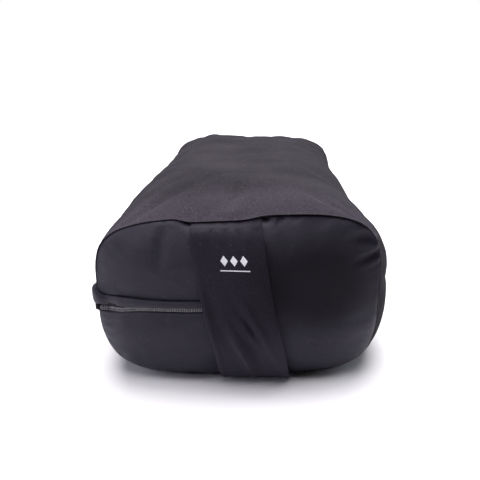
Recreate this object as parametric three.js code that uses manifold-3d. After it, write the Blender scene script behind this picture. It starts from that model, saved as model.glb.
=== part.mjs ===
// A rectangular yoga bolster: a firmly filled cotton cushion with two domed end panels, a flat cloth
// handle across one end, and a zip under a folded flap that starts behind the handle, turns the corner
// and runs the whole left side. Millimetres, +Z up. X is across, Y along the length with the handle end
// at -Y, and the origin is on the floor at the middle of the cushion.
import * as THREE from "three";
import { mergeVertices } from "three/addons/utils/BufferGeometryUtils.js";
import Module from "manifold-3d";

const wasm = await Module();
wasm.setup();

// Driving sizes of the filled cushion
const LENGTH = 650; // between the two end seams
const GIRTH_HEIGHT = 88; // height of the widest line round the cushion
const SEAM_UNDER = 1; // the lowest point of the end seams, above the floor
const SEAM_SQUARENESS_BELOW = 4.3; // exponents of the rounded section's underside
const MIDDLE_SQUARENESS_BELOW = 3.6;
const ROLL_LENGTH = 42; // the cloth rolls down to the seam over this length
const UNDERSIDE_SAG = 9; // how far the round underside is pressed flat on the floor

// The cushion's own unevenness, a row for each section along the length, from the handle end. Tilt is
// how much the top rises towards +X, and the two last columns are the exponents of the section's rounded
// corners above the girth
const SECTIONS = [
  { along: 0, left: 146, right: 144.5, crown: 177, tilt: 0.035, squareLeft: 3.5, squareRight: 2.85 },
  { along: 42, left: 151, right: 156, crown: 183.5, tilt: 0.02, squareLeft: 2.8, squareRight: 2.75 },
  { along: 150, left: 154, right: 154, crown: 184, tilt: 0, squareLeft: 3.1, squareRight: 2.9 },
  { along: 290, left: 156, right: 150, crown: 183, tilt: 0, squareLeft: 3.3, squareRight: 3.4 },
  { along: 420, left: 156, right: 148, crown: 182, tilt: 0, squareLeft: 3.6, squareRight: 3.7 },
  { along: 540, left: 154, right: 150, crown: 182, tilt: -0.01, squareLeft: 3.8, squareRight: 4.0 },
  { along: 608, left: 153, right: 153, crown: 181, tilt: -0.03, squareLeft: 3.9, squareRight: 4.3 },
  { along: 650, left: 147, right: 148, crown: 175, tilt: -0.03, squareLeft: 3.9, squareRight: 4.0 },
];

// Soft swellings and hollows of the top, in the order in which they lie from the handle end
const SWELLINGS = [
  { across: 60, along: 30, spreadAcross: 75, spreadAlong: 13, height: 1.6 },
  { across: -70, along: 60, spreadAcross: 60, spreadAlong: 30, height: -1.2 },
  { across: 40, along: 190, spreadAcross: 70, spreadAlong: 60, height: -1.6 },
  { across: -50, along: 330, spreadAcross: 70, spreadAlong: 70, height: -1.4 },
  { across: 70, along: 500, spreadAcross: 50, spreadAlong: 60, height: -1.5 },
  { across: -76, along: 646, spreadAcross: 24, spreadAlong: 16, height: 6 },
];

// The end panels: sheets of cloth laid over the cushion's crowned ends, just inside the seam
const CLOTH = 2; // a turned and padded edge of the cover's cloth
const GAP = 0.3; // between pieces that lie on each other
const SEAT_GAP = 0.65; // between a panel's back and the filling's crowned end
const LIP = 2.6; // the main panel's folded edge, which overhangs the end panel
const LIP_CREST = 0.4; // the fold's crest, past the seam, and how far in from the face it lies
const LIP_CREST_INSET = 1.2;
const LIP_ROUND = 0.3; // how far the fold's inner edge lies behind the seam
const PANEL_RECESS = 2.4; // the end panel starts this far behind the lip
const NEAR_RISE = 27; // how far each end is crowned
const FAR_RISE = 23;
const DOME_POWER = 3; // of the fall from the crown to the seam
const GATHER_FADE = 0.1; // share of the panel over which the gathers smooth out again at the seam

// Gathers pulled in at the handle end's seam. Turn is the angle round the panel, from +X towards +Z
const GATHERS = [
  { turn: 41, spread: 3.6, depth: 3.4, reach: 0.3 },
  { turn: 32, spread: 3.0, depth: -1.6, reach: 0.28 },
  { turn: 24, spread: 3.2, depth: 3.0, reach: 0.3 },
  { turn: 15, spread: 3.0, depth: 1.2, reach: 0.2 },
  { turn: 72, spread: 5, depth: 1.3, reach: 0.16 },
  { turn: 196, spread: 3.5, depth: 1.3, reach: 0.16 },
  { turn: 206, spread: 3.5, depth: 1.5, reach: 0.18 },
  { turn: 217, spread: 3.5, depth: 1.2, reach: 0.16 },
];

// The handle, a row for each height down the end panel. Out is measured from the seam to the strap's
// middle, and lean is how much further out the right edge stands than the left
const HANDLE_WIDTH = 70;
const HANDLE_THICKNESS = 2.4;
const HEM_THICKNESS = 0.5; // share of the thickness at the strap's two folded edges
const HANDLE_CLEAR = 2.1; // least distance of the strap's middle in front of the panel, above the girth
const HANDLE = [
  { height: 171.2, out: -0.5, centre: -9, lean: 0 },
  { height: 165, out: 4.6, centre: -8.8, lean: 0 },
  { height: 152, out: 13, centre: -7, lean: 0.6 },
  { height: 132, out: 22.5, centre: -4.5, lean: 3 },
  { height: 112, out: 30, centre: -1.6, lean: 4 },
  { height: 88, out: 35, centre: 2.5, lean: 3 },
  { height: 62, out: 37, centre: 8, lean: 2 },
  { height: 38, out: 34.5, centre: 13.5, lean: 1 },
  { height: 18, out: 27, centre: 16.5, lean: 0 },
  { height: 6.5, out: 18, centre: 18.5, lean: 0 },
  { height: 2.4, out: 10, centre: 19.5, lean: 0 },
  { height: 2.0, out: 1.5, centre: 20, lean: 0 },
];
// Slack in the handle: soft diagonal folds, placed across and down the strap from -1 to 1 and 0 to 1
const HANDLE_FOLDS = [
  { across: -0.35, down: 0.62, width: 0.2, slant: 1.8, length: 0.22, height: 1.8 },
  { across: 0.25, down: 0.6, width: 0.22, slant: 1.8, length: 0.24, height: -1.8 },
  { across: 0.55, down: 0.66, width: 0.18, slant: 1.8, length: 0.2, height: 1.4 },
  { across: -0.1, down: 0.12, width: 0.35, slant: 0.4, length: 0.07, height: 0.8 },
];

// The zip: its line runs level, from behind the handle round the left corner to the far seam
const ZIP_HEIGHT = 84;
const ZIP_START = -20; // across, behind the handle
const ZIP_CORNER_START = -118; // across, where the line starts to turn the corner
const ZIP_CORNER_END = 30; // along the side from the handle end's seam
// The line round the corner, beyond the seam's left-hand end and out from it towards the handle
const ZIP_CORNER = [
  { beyond: -12, out: 3.6 },
  { beyond: -3, out: 2.4 },
  { beyond: 1.9, out: -2 },
  { beyond: 2.6, out: -10 },
];
const ZIP_CORNER_STEPS = 12;
const ZIP_END = LENGTH - 5;
const ZIP_STEP = 15;
const ZIP_SIDE_STEP = 33;
const SLOT_BELOW = 4.2;
const SLOT_ABOVE = 8;
const SLOT_DEPTH = 3.4;
const CUTTER_PROUD = 12;
const TAPE_THICKNESS = 1;
const TAPE_DEPTH = 2.5; // of the tapes' middle, behind the cover's face
const COIL_WIDTH = 5; // the tapes meet under its middle
const COIL_THICKNESS = 2;
const FLAP_HEIGHT = 6.5;
const FLAP_THICKNESS = 3.2;
const FLAP_LOW = 2.9; // its lower edge, above the middle of the coil
const FLAP_STAND = 1.1; // its back, in front of the cover's face

// Mesh fineness
const AROUND = 84;
const BEND_WEIGHT = 90; // how much closer the steps round the section lie where it bends, in mm a radian
const PANEL_RINGS = 9;
const SEAT_RINGS = 4;
const RING_CROWDING = 1.25; // above 1, the rings of an end lie closer together near its seam
const ROLL_STEPS = [0.6, 3, 8, 16, 27, ROLL_LENGTH]; // rings of the roll, along from the seam
const MIDDLE_STEPS = 16;
const HANDLE_ACROSS = 10;
const HANDLE_DOWN = 26;
const CURVE_STEPS = 24; // samples of a table's curve, for each row

const clothMaterial = (color, roughness) => new THREE.MeshStandardMaterial({ color, roughness, metalness: 0 });
const mainCloth = clothMaterial(0x2b272b, 0.95);
const panelCloth = clothMaterial(0x1d1c22, 0.92);
const handleCloth = clothMaterial(0x1a191e, 0.9);
const tapeCloth = clothMaterial(0x242328, 0.8);
const coilNylon = clothMaterial(0x2e2d30, 0.45);

const signedPower = (value, power) => Math.sign(value) * Math.abs(value) ** power;
const bell = (offset) => Math.exp(-offset * offset);
const smooth = (value) => {
  const t = Math.min(1, Math.max(0, value));
  return t * t * (3 - 2 * t);
};

// A column of a table as a smooth function of another column
function column(rows, key, value) {
  const curve = new THREE.CatmullRomCurve3(
    rows.map((row) => new THREE.Vector3(row[key], row[value], 0)), false, "centripetal");
  const samples = curve.getPoints(rows.length * CURVE_STEPS);
  return (at) => {
    const rising = samples[0].x < samples[samples.length - 1].x;
    const next = samples.findIndex((p) => (rising ? p.x >= at : p.x <= at));
    if (next <= 0) return next === 0 ? samples[0].y : samples[samples.length - 1].y;
    const [a, b] = [samples[next - 1], samples[next]];
    return a.y + ((b.y - a.y) * (at - a.x)) / (b.x - a.x || 1);
  };
}

const sectionColumns = ["left", "right", "crown", "tilt", "squareLeft", "squareRight"];
const sectionRow = Object.fromEntries(sectionColumns.map((name) => [name, column(SECTIONS, "along", name)]));

// How far the roll to the nearest seam has gone, 1 at the seam and 0 past the roll
const rollAt = (along) => Math.max(0, 1 - Math.min(along, LENGTH - along) / ROLL_LENGTH) ** 2;

// The rounded section of the cushion at a place along it, inset all round by a given amount
function sectionAt(along, inset = 0) {
  const roll = rollAt(along);
  const mix = (middle, seam) => middle + (seam - middle) * Math.sqrt(roll);
  return {
    left: sectionRow.left(along) - inset,
    right: sectionRow.right(along) - inset,
    above: sectionRow.crown(along) - GIRTH_HEIGHT - inset,
    tilt: sectionRow.tilt(along),
    below: GIRTH_HEIGHT + UNDERSIDE_SAG * (1 - roll) - SEAM_UNDER * roll - inset,
    squareLeft: sectionRow.squareLeft(along),
    squareRight: sectionRow.squareRight(along),
    squareBelow: mix(MIDDLE_SQUARENESS_BELOW, SEAM_SQUARENESS_BELOW),
  };
}

function squareness(section, x, up) {
  if (up < 0) return section.squareBelow;
  return x >= 0 ? section.squareRight : section.squareLeft;
}

// How far a section reaches above or below the girth at a place across it
const reach = (section, x, up) => (up >= 0 ? section.above + section.tilt * x : section.below);

// A point of a section, at an angle from +X towards +Z
function sectionPoint(section, turn) {
  const [c, s] = [Math.cos(turn), Math.sin(turn)];
  const power = 2 / squareness(section, c, s);
  const x = (c >= 0 ? section.right : section.left) * signedPower(c, power);
  return new THREE.Vector2(x, reach(section, x, s) * signedPower(s, power));
}

// Angles that step round the seam's section evenly, with closer steps where it bends
function turnsAround(count) {
  const fine = 1440;
  const section = sectionAt(0);
  const points = Array.from({ length: fine + 1 }, (_, i) => sectionPoint(section, (i / fine) * 2 * Math.PI));
  const run = [0];
  for (let i = 1; i <= fine; i++) {
    const step = points[i].clone().sub(points[i - 1]);
    const before = points[i - 1].clone().sub(points[i > 1 ? i - 2 : fine - 1]);
    const bend = Math.abs(Math.atan2(before.cross(step), before.dot(step)));
    run.push(run[i - 1] + step.length() + bend * BEND_WEIGHT);
  }
  return Array.from({ length: count }, (_, k) => {
    const target = (k / count) * run[fine];
    const i = run.findIndex((value) => value > target);
    const part = (target - run[i - 1]) / (run[i] - run[i - 1]);
    return ((i - 1 + part) / fine) * 2 * Math.PI;
  });
}
const TURNS = turnsAround(AROUND);

function swelling(across, along) {
  return SWELLINGS.reduce((sum, s) => sum + s.height
    * bell((across - s.across) / s.spreadAcross) * bell((along - s.along) / s.spreadAlong), 0);
}

// A ring of the main panel. Along is measured from the handle end's seam
function ringAt(along, inset = 0, shift = 0) {
  const section = sectionAt(Math.min(LENGTH, Math.max(0, along)), inset);
  return TURNS.map((turn) => {
    const p = sectionPoint(section, turn);
    const lift = p.y > 0 ? swelling(p.x, along) * smooth(p.y / reach(section, p.x, p.y)) : 0;
    return new THREE.Vector3(p.x, along + shift - LENGTH / 2, Math.max(0, GIRTH_HEIGHT + p.y + lift));
  });
}

// The dome of an end: how far it stands out of the seam at a point, and the share of the way to the edge
function edgeShare(section, x, up) {
  const power = squareness(section, x, up);
  const acrossShare = Math.abs(x) / (x >= 0 ? section.right : section.left);
  const upShare = Math.abs(up) / reach(section, x, up);
  return (acrossShare ** power + upShare ** power) ** (1 / power);
}

function gather(x, up, share) {
  const turn = THREE.MathUtils.radToDeg(Math.atan2(up, x));
  return GATHERS.reduce((sum, g) => {
    const offset = ((turn - g.turn + 540) % 360) - 180;
    return sum + g.depth * bell(offset / g.spread) * smooth((share - 1 + g.reach) / g.reach);
  }, 0);
}

function domeOut(section, rise, gathered, x, z) {
  const share = edgeShare(section, x, z - GIRTH_HEIGHT);
  const fullness = 1 - Math.min(1, share) ** DOME_POWER;
  const fade = 1 - smooth((share - 1 + GATHER_FADE) / GATHER_FADE);
  const pulled = gathered ? gather(x, z - GIRTH_HEIGHT, share) * fade : 0;
  return rise * fullness - pulled - PANEL_RECESS;
}

const NEAR = { side: -1, along: 0, rise: NEAR_RISE, gathered: true };
const FAR = { side: 1, along: LENGTH, rise: FAR_RISE, gathered: false };

// Rings of one face of an end, from the seam to the middle, set back from the panel's face by depth
function endRings(end, outline, depth, rings) {
  const section = sectionAt(end.along, LIP);
  const cut = sectionAt(end.along, outline);
  return Array.from({ length: rings }, (_, i) => {
    const share = 1 - (i / rings) ** RING_CROWDING;
    return TURNS.map((turn) => {
      const p = sectionPoint(section, turn).multiplyScalar(share);
      const out = domeOut(section, end.rise, end.gathered, p.x, p.y + GIRTH_HEIGHT) - depth;
      const q = sectionPoint(cut, turn).multiplyScalar(share);
      return new THREE.Vector3(q.x, end.side * (LENGTH / 2 + out), q.y + GIRTH_HEIGHT);
    });
  });
}

const endMiddle = (end, depth) =>
  new THREE.Vector3(0, end.side * (LENGTH / 2 + end.rise - PANEL_RECESS - depth), GIRTH_HEIGHT);

// A closed solid from rings in order, with each end closed on a middle point
function ringSolid(rings, firstMiddle, lastMiddle) {
  const around = rings[0].length;
  const points = [...rings.flat(), firstMiddle, lastMiddle];
  const [first, last] = [points.length - 2, points.length - 1];
  const faces = [];
  for (let k = 0; k < around; k++) {
    const next = (k + 1) % around;
    for (let r = 0; r + 1 < rings.length; r++) {
      const [a, b] = [r * around + k, r * around + next];
      const [c, d] = [a + around, b + around];
      const shorter = points[a].distanceTo(points[d]) <= points[b].distanceTo(points[c]);
      faces.push(...(shorter ? [a, d, b, a, c, d] : [a, c, b, c, d, b]));
    }
    faces.push(first, k, next);
    const end = (rings.length - 1) * around;
    faces.push(last, end + next, end + k);
  }
  return solidGeometry(points, faces);
}

// A closed solid from a grid of middle points, made thick on both sides and thinner at its two long edges
function sheetSolid(grid, thickness, edgeShareOf = () => 1) {
  const [rows, columns] = [grid.length, grid[0].length];
  const at = (i, j) => grid[Math.min(rows - 1, Math.max(0, i))][Math.min(columns - 1, Math.max(0, j))];
  const face = (side) => grid.map((row, i) => row.map((p, j) => {
    const down = at(i + 1, j).clone().sub(at(i - 1, j));
    const across = at(i, j + 1).clone().sub(at(i, j - 1));
    const normal = down.cross(across).normalize();
    return p.clone().addScaledVector(normal, side * 0.5 * thickness * edgeShareOf(j / (columns - 1)));
  }));
  const points = [...face(1).flat(), ...face(-1).flat()];
  const index = (side, i, j) => side * rows * columns + i * columns + j;
  const faces = [];
  const quad = (a, b, c, d) => faces.push(a, b, c, a, c, d);
  for (let i = 0; i + 1 < rows; i++) {
    for (let j = 0; j + 1 < columns; j++) {
      quad(index(0, i, j), index(0, i + 1, j), index(0, i + 1, j + 1), index(0, i, j + 1));
      quad(index(1, i, j), index(1, i, j + 1), index(1, i + 1, j + 1), index(1, i + 1, j));
    }
    quad(index(0, i, 0), index(1, i, 0), index(1, i + 1, 0), index(0, i + 1, 0));
    const edge = columns - 1;
    quad(index(0, i, edge), index(0, i + 1, edge), index(1, i + 1, edge), index(1, i, edge));
  }
  for (let j = 0; j + 1 < columns; j++) {
    quad(index(0, 0, j), index(0, 0, j + 1), index(1, 0, j + 1), index(1, 0, j));
    const edge = rows - 1;
    quad(index(0, edge, j), index(1, edge, j), index(1, edge, j + 1), index(0, edge, j + 1));
  }
  return solidGeometry(points, faces);
}

function solidGeometry(points, faces) {
  const geometry = new THREE.BufferGeometry().setFromPoints(points);
  geometry.setIndex(faces);
  return mergeVertices(geometry, 1e-4);
}

function asManifold(geometry) {
  return new wasm.Manifold(new wasm.Mesh({
    numProp: 3,
    vertProperties: geometry.attributes.position.array,
    triVerts: new Uint32Array(geometry.index.array),
  }));
}

function cutFrom(geometry, cutter) {
  const mesh = asManifold(geometry).subtract(asManifold(cutter)).getMesh();
  const cut = new THREE.BufferGeometry();
  cut.setAttribute("position", new THREE.BufferAttribute(mesh.vertProperties, 3));
  cut.setIndex(Array.from(mesh.triVerts));
  return cut;
}

// The zip's line on the cover's face, with the direction that faces out of it
function zipLine() {
  const panel = sectionAt(0, LIP);
  const onPanel = (x) => new THREE.Vector3(
    x, -LENGTH / 2 - domeOut(panel, NEAR_RISE, true, x, ZIP_HEIGHT), ZIP_HEIGHT);
  const onSide = (along) => {
    const section = sectionAt(along);
    const share = (ZIP_HEIGHT - GIRTH_HEIGHT) / section.below;
    const x = -section.left * (1 - Math.abs(share) ** section.squareBelow) ** (1 / section.squareBelow);
    return new THREE.Vector3(x, along - LENGTH / 2, ZIP_HEIGHT);
  };
  const points = [];
  for (let x = ZIP_START; x > ZIP_CORNER_START + ZIP_STEP; x -= ZIP_STEP) points.push(onPanel(x));
  const seamEnd = onSide(0);
  const corner = ZIP_CORNER.map((row) => seamEnd.clone().add(new THREE.Vector3(-row.beyond, -row.out, 0)));
  const before = [onPanel(ZIP_CORNER_START + ZIP_STEP), onPanel(ZIP_CORNER_START)];
  const round = new THREE.CatmullRomCurve3([...before, ...corner, onSide(ZIP_CORNER_END)], false, "centripetal");
  points.push(...round.getSpacedPoints(ZIP_CORNER_STEPS));
  const sideSteps = Math.round((ZIP_END - ZIP_CORNER_END) / ZIP_SIDE_STEP);
  for (let i = 1; i <= sideSteps; i++) {
    points.push(onSide(ZIP_CORNER_END + ((ZIP_END - ZIP_CORNER_END) * i) / sideSteps));
  }
  return points.map((point, i) => {
    const forward = points[Math.min(points.length - 1, i + 1)].clone().sub(points[Math.max(0, i - 1)]);
    return { point, outward: new THREE.Vector3(-forward.y, forward.x, 0).normalize() };
  });
}
const ZIP_LINE = zipLine();

// A band that follows the zip's line, between two heights from it, with its middle at a given depth
function zipBand(line, low, high, depth, thickness, columns, edgeShareOf) {
  const grid = line.map(({ point, outward }) => Array.from({ length: columns }, (_, j) => {
    const up = low + ((high - low) * j) / (columns - 1);
    return point.clone().addScaledVector(outward, -depth).add(new THREE.Vector3(0, 0, up));
  }));
  return sheetSolid(grid, thickness, edgeShareOf);
}

// The slot runs a little past the pieces in it, and its cutter stands well out of the cover's face
function zipSlot() {
  const line = ZIP_LINE.map(({ point, outward }, i) => {
    const past = i === 0 ? GAP : i === ZIP_LINE.length - 1 ? -GAP : 0;
    return { point: point.clone().add(new THREE.Vector3(-outward.y, outward.x, 0).multiplyScalar(past)), outward };
  });
  return zipBand(line, -SLOT_BELOW, SLOT_ABOVE, (SLOT_DEPTH - CUTTER_PROUD) / 2, SLOT_DEPTH + CUTTER_PROUD, 2);
}

// The filled main panel, from crowned seat to crowned seat. Its folded edge at each seam is rounded
function cushion() {
  const middleStep = (LENGTH - 2 * ROLL_LENGTH) / MIDDLE_STEPS;
  const middle = Array.from({ length: MIDDLE_STEPS - 1 }, (_, i) => ROLL_LENGTH + middleStep * (i + 1));
  const wrap = [...ROLL_STEPS, ...middle, ...ROLL_STEPS.map((along) => LENGTH - along).reverse()];
  const lipAndSeat = (end) => {
    const seat = endRings(end, LIP - GAP, CLOTH + SEAT_GAP, SEAT_RINGS);
    const lip = ringAt(end.along, LIP_CREST_INSET, end.side * LIP_CREST);
    const wall = ringAt(end.along, LIP - GAP, -end.side * LIP_ROUND);
    return [lip, wall, ...seat];
  };
  const rings = [...lipAndSeat(NEAR).reverse(), ...wrap.map((along) => ringAt(along)), ...lipAndSeat(FAR)];
  return ringSolid(rings, endMiddle(NEAR, CLOTH + SEAT_GAP), endMiddle(FAR, CLOTH + SEAT_GAP));
}

function endPanel(end, rings) {
  const face = endRings(end, LIP, 0, rings);
  const back = endRings(end, LIP, CLOTH, SEAT_RINGS);
  const ordered = end.side < 0 ? [...face.reverse(), ...back] : [...back.reverse(), ...face];
  const faceMiddle = endMiddle(end, 0);
  const backMiddle = endMiddle(end, CLOTH);
  return end.side < 0 ? ringSolid(ordered, faceMiddle, backMiddle) : ringSolid(ordered, backMiddle, faceMiddle);
}

// How far the slack folds lift the strap at a place on it
function slack(across, down) {
  return HANDLE_FOLDS.reduce((sum, f) => {
    const side = across - f.across - f.slant * (down - f.down);
    return sum + f.height * bell(side / f.width) * bell((down - f.down) / f.length);
  }, 0);
}

function handle() {
  const panel = sectionAt(0, LIP);
  const route = (value) => new THREE.CatmullRomCurve3(
    HANDLE.map((row) => new THREE.Vector3(value(row), row.out, row.height)), false, "centripetal");
  const [centre, lean] = [route((row) => row.centre), route((row) => row.lean)];
  const grid = Array.from({ length: HANDLE_DOWN + 1 }, (_, i) => {
    const down = i / HANDLE_DOWN;
    const [c, l] = [centre.getPoint(down), lean.getPoint(down)];
    return Array.from({ length: HANDLE_ACROSS + 1 }, (_, j) => {
      const across = (2 * j) / HANDLE_ACROSS - 1;
      const x = c.x + 0.5 * HANDLE_WIDTH * across;
      const free = c.y + 0.5 * l.x * across + slack(across, down);
      const clear = c.z > GIRTH_HEIGHT ? domeOut(panel, NEAR_RISE, true, x, c.z) + HANDLE_CLEAR : free;
      return new THREE.Vector3(x, -LENGTH / 2 - Math.max(free, clear), c.z);
    });
  });
  return sheetSolid(grid, HANDLE_THICKNESS, thinHems);
}

// Thickness of a padded band across it, full in the middle and thinner at its two edges
const EDGE_THICKNESS = 0.45;
const roundEdges = (share) =>
  EDGE_THICKNESS + (1 - EDGE_THICKNESS) * Math.sqrt(Math.max(0, 1 - (2 * share - 1) ** 4));
const thinHems = (share) => (share === 0 || share === 1 ? HEM_THICKNESS : 1);

function build() {
  const slot = zipSlot();
  const coilDepth = TAPE_DEPTH - TAPE_THICKNESS / 2 - GAP - COIL_THICKNESS / 2;
  const flapDepth = -FLAP_STAND - FLAP_THICKNESS / 2;
  const flapTop = FLAP_LOW + FLAP_HEIGHT;
  const pieces = {
    cushion: [cutFrom(cushion(), slot), mainCloth],
    near_end_panel: [cutFrom(endPanel(NEAR, PANEL_RINGS), slot), panelCloth],
    far_end_panel: [endPanel(FAR, SEAT_RINGS + 1), panelCloth],
    handle: [handle(), handleCloth],
    zip_tape_lower: [zipBand(ZIP_LINE, -SLOT_BELOW + GAP, -GAP / 2, TAPE_DEPTH, TAPE_THICKNESS, 2), tapeCloth],
    zip_tape_upper: [zipBand(ZIP_LINE, GAP / 2, SLOT_ABOVE - GAP, TAPE_DEPTH, TAPE_THICKNESS, 2), tapeCloth],
    zip_coil: [zipBand(ZIP_LINE, -COIL_WIDTH / 2, COIL_WIDTH / 2, coilDepth, COIL_THICKNESS, 3, roundEdges),
      coilNylon],
    zip_flap: [zipBand(ZIP_LINE, FLAP_LOW, flapTop, flapDepth, FLAP_THICKNESS, 5, roundEdges), panelCloth],
  };
  const group = new THREE.Group();
  for (const [name, [geometry, material]] of Object.entries(pieces)) {
    const mesh = new THREE.Mesh(geometry, material);
    mesh.name = name;
    group.add(mesh);
  }
  return group;
}

export default build();
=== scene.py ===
# A black cotton yoga bolster, seen over its handle end: a filled cushion with two domed end panels, a
# flat handle across the near one, and a zip under a folded flap that runs round the left corner
import math
import random
from collections import namedtuple
import bmesh
import bpy
import numpy as np
from mathutils import Matrix, Vector


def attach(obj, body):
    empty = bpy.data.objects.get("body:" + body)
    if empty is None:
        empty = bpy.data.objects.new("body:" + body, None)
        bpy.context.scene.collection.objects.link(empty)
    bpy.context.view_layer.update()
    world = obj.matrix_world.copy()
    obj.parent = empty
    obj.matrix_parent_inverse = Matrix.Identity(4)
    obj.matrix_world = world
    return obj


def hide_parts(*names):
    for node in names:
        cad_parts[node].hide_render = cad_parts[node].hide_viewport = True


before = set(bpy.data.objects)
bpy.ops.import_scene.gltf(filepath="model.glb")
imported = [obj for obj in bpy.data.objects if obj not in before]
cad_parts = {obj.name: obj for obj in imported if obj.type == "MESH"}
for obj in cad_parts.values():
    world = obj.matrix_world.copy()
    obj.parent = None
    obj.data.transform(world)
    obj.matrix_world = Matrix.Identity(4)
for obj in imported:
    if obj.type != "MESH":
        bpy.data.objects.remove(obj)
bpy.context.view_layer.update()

# The shapes are worked out in millimetres, in the frame of the solids: X across, Y along, Z up
MM = 0.001

# The filled cushion
LENGTH = 650
GIRTH_HEIGHT = 88
SEAM_UNDER = 1
ROLL_LENGTH = 42
UNDERSIDE_SAG = 9
SQUARE_BELOW_MIDDLE = 3.6
SQUARE_BELOW_SEAM_LEFT = 3.6
SQUARE_BELOW_SEAM_RIGHT = 3.8

# Its section along the length. Tilt is how much the top rises towards +X, and the last two columns are
# the exponents of the rounded corners above the girth
Section = namedtuple("Section", "along left right crown tilt square_left square_right")
SECTIONS = [
    Section(0, 145, 143.5, 171, 0.035, 4.2, 4.35),
    Section(42, 152.5, 160, 183.5, 0.02, 2.95, 2.8),
    Section(150, 155, 153.5, 184.5, 0, 3.25, 3.05),
    Section(290, 158, 151.5, 184, 0, 3.65, 3.5),
    Section(420, 158, 150, 183.5, 0, 3.75, 3.75),
    Section(540, 157.5, 153.5, 184.5, -0.01, 3.95, 4.1),
    Section(608, 157, 157, 184.5, -0.03, 4.0, 4.4),
    Section(650, 150.5, 151.5, 177.5, -0.03, 4.1, 4.1),
]

# The handle pulls the top of the near seam down between these two places across it
HANDLE_PULL = 4.2
PULL_LEFT = (-60, 14)
PULL_RIGHT = (34, 30)
PULL_REACH = 36

# The foot of the near end is pushed forward by the filling's weight, more at the left
TOE_LEFT = 9
TOE_RIGHT = 5.5
TOE_CHANGE = 60
TOE_TOP = 42
TOE_HEIGHT = 42
TOE_REACH = 70

# Soft swellings and hollows of the top
Swelling = namedtuple("Swelling", "across along spread_across spread_along height")
SWELLINGS = [
    Swelling(60, 30, 75, 13, 1.6),
    Swelling(-70, 60, 60, 30, -1.2),
    Swelling(40, 190, 70, 60, -1.6),
    Swelling(-50, 330, 70, 70, -1.4),
    Swelling(70, 500, 50, 60, -1.5),
]

# The end panels, a little inside the seam and behind it
End = namedtuple("End", "side along rise")
NEAR = End(-1, 0, 27)
FAR = End(1, LENGTH, 23)
DOME_POWER_ABOVE = 3
DOME_POWER_BELOW = 5.5
DOME_CHANGE = 60

# The cover's edge stands over the top of the panels and lies flush with them lower down. At the left that
# begins at the zip, and at the right well above it
INSET_ABOVE = 1.3
INSET_BELOW = 0.05
RECESS_ABOVE = 1.2
RECESS_BELOW = 0.05
LIP_FADE_LEFT = (-14, 60)
LIP_FADE_RIGHT = (52, 22)
LIP_CHANGE = 50
# It stands out most a little to the right of the middle
LIP_LEAST = 0.4
LIP_MIDDLE = 40
LIP_SPREAD = 72


def smooth(value):
    t = np.clip(value, 0, 1)
    return t * t * (3 - 2 * t)


def bell(offset):
    return np.exp(-np.square(offset))


def spline(knots, rows, at):
    """A smooth curve through rows of values at rising knots."""
    knots = np.asarray(knots, float)
    rows = np.asarray(rows, float)
    at = np.clip(np.atleast_1d(at), knots[0], knots[-1])
    slopes = np.gradient(rows, knots, axis=0)
    i = np.clip(np.searchsorted(knots, at, side="right") - 1, 0, len(knots) - 2)
    step = (knots[i + 1] - knots[i])[:, None]
    t = (at - knots[i])[:, None] / step
    starts = rows[i] * (1 + 2 * t) * (1 - t) ** 2 + slopes[i] * step * t * (1 - t) ** 2
    ends = rows[i + 1] * t * t * (3 - 2 * t) - slopes[i + 1] * step * t * t * (1 - t)
    return starts + ends


def distances(points):
    """How far each point lies along the line through them all."""
    return np.concatenate([[0], np.cumsum(np.linalg.norm(np.diff(points, axis=0), axis=1))])


Outline = namedtuple("Outline", "left right above tilt below square_left square_right below_left below_right")


def outline_at(along, inset=0.0):
    """The cushion's rounded section at a place along it, drawn in all round by the inset."""
    along = min(LENGTH, max(0, along))
    row = spline([s.along for s in SECTIONS], [s[1:] for s in SECTIONS], along)[0]
    left, right, crown, tilt, square_left, square_right = row
    roll = max(0, 1 - min(along, LENGTH - along) / ROLL_LENGTH)
    below = GIRTH_HEIGHT + UNDERSIDE_SAG * (1 - roll ** 2) - SEAM_UNDER * roll ** 2
    below_left = SQUARE_BELOW_MIDDLE + (SQUARE_BELOW_SEAM_LEFT - SQUARE_BELOW_MIDDLE) * roll
    below_right = SQUARE_BELOW_MIDDLE + (SQUARE_BELOW_SEAM_RIGHT - SQUARE_BELOW_MIDDLE) * roll
    return Outline(left - inset, right - inset, crown - GIRTH_HEIGHT - inset, tilt, below - inset,
                   square_left, square_right, below_left, below_right)


def squareness(outline, x, up):
    above = np.where(x >= 0, outline.square_right, outline.square_left)
    below = np.where(x >= 0, outline.below_right, outline.below_left)
    return np.where(up < 0, below, above)


def reach(outline, x, up):
    """How far a section reaches above or below the girth at a place across it."""
    return np.where(up >= 0, outline.above + outline.tilt * x, outline.below)


def outline_points(outline, turns):
    """Points of a section, as x and height over the girth, at angles from +X towards +Z."""
    c, s = np.cos(turns), np.sin(turns)
    power = 2 / squareness(outline, c, s)
    x = np.where(c >= 0, outline.right, outline.left) * np.sign(c) * np.abs(c) ** power
    return x, reach(outline, x, s) * np.sign(s) * np.abs(s) ** power


def edge_share(outline, x, up):
    """How far out a point lies on an end, from 0 in the middle to 1 at its outline."""
    power = squareness(outline, x, up)
    across = np.abs(x) / np.where(x >= 0, outline.right, outline.left)
    upward = np.abs(up) / reach(outline, x, up)
    return (across ** power + upward ** power) ** (1 / power)


def lip_share(x, up):
    """How much of the cover's edge stands over an end panel at a place across it and over the girth."""
    to_right = smooth((x + LIP_CHANGE) / (2 * LIP_CHANGE))
    start, run = (left + (right - left) * to_right for left, right in zip(LIP_FADE_LEFT, LIP_FADE_RIGHT))
    most = LIP_LEAST + (1 - LIP_LEAST) * bell((x - LIP_MIDDLE) / LIP_SPREAD)
    return most * smooth((up - start) / run)


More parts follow.
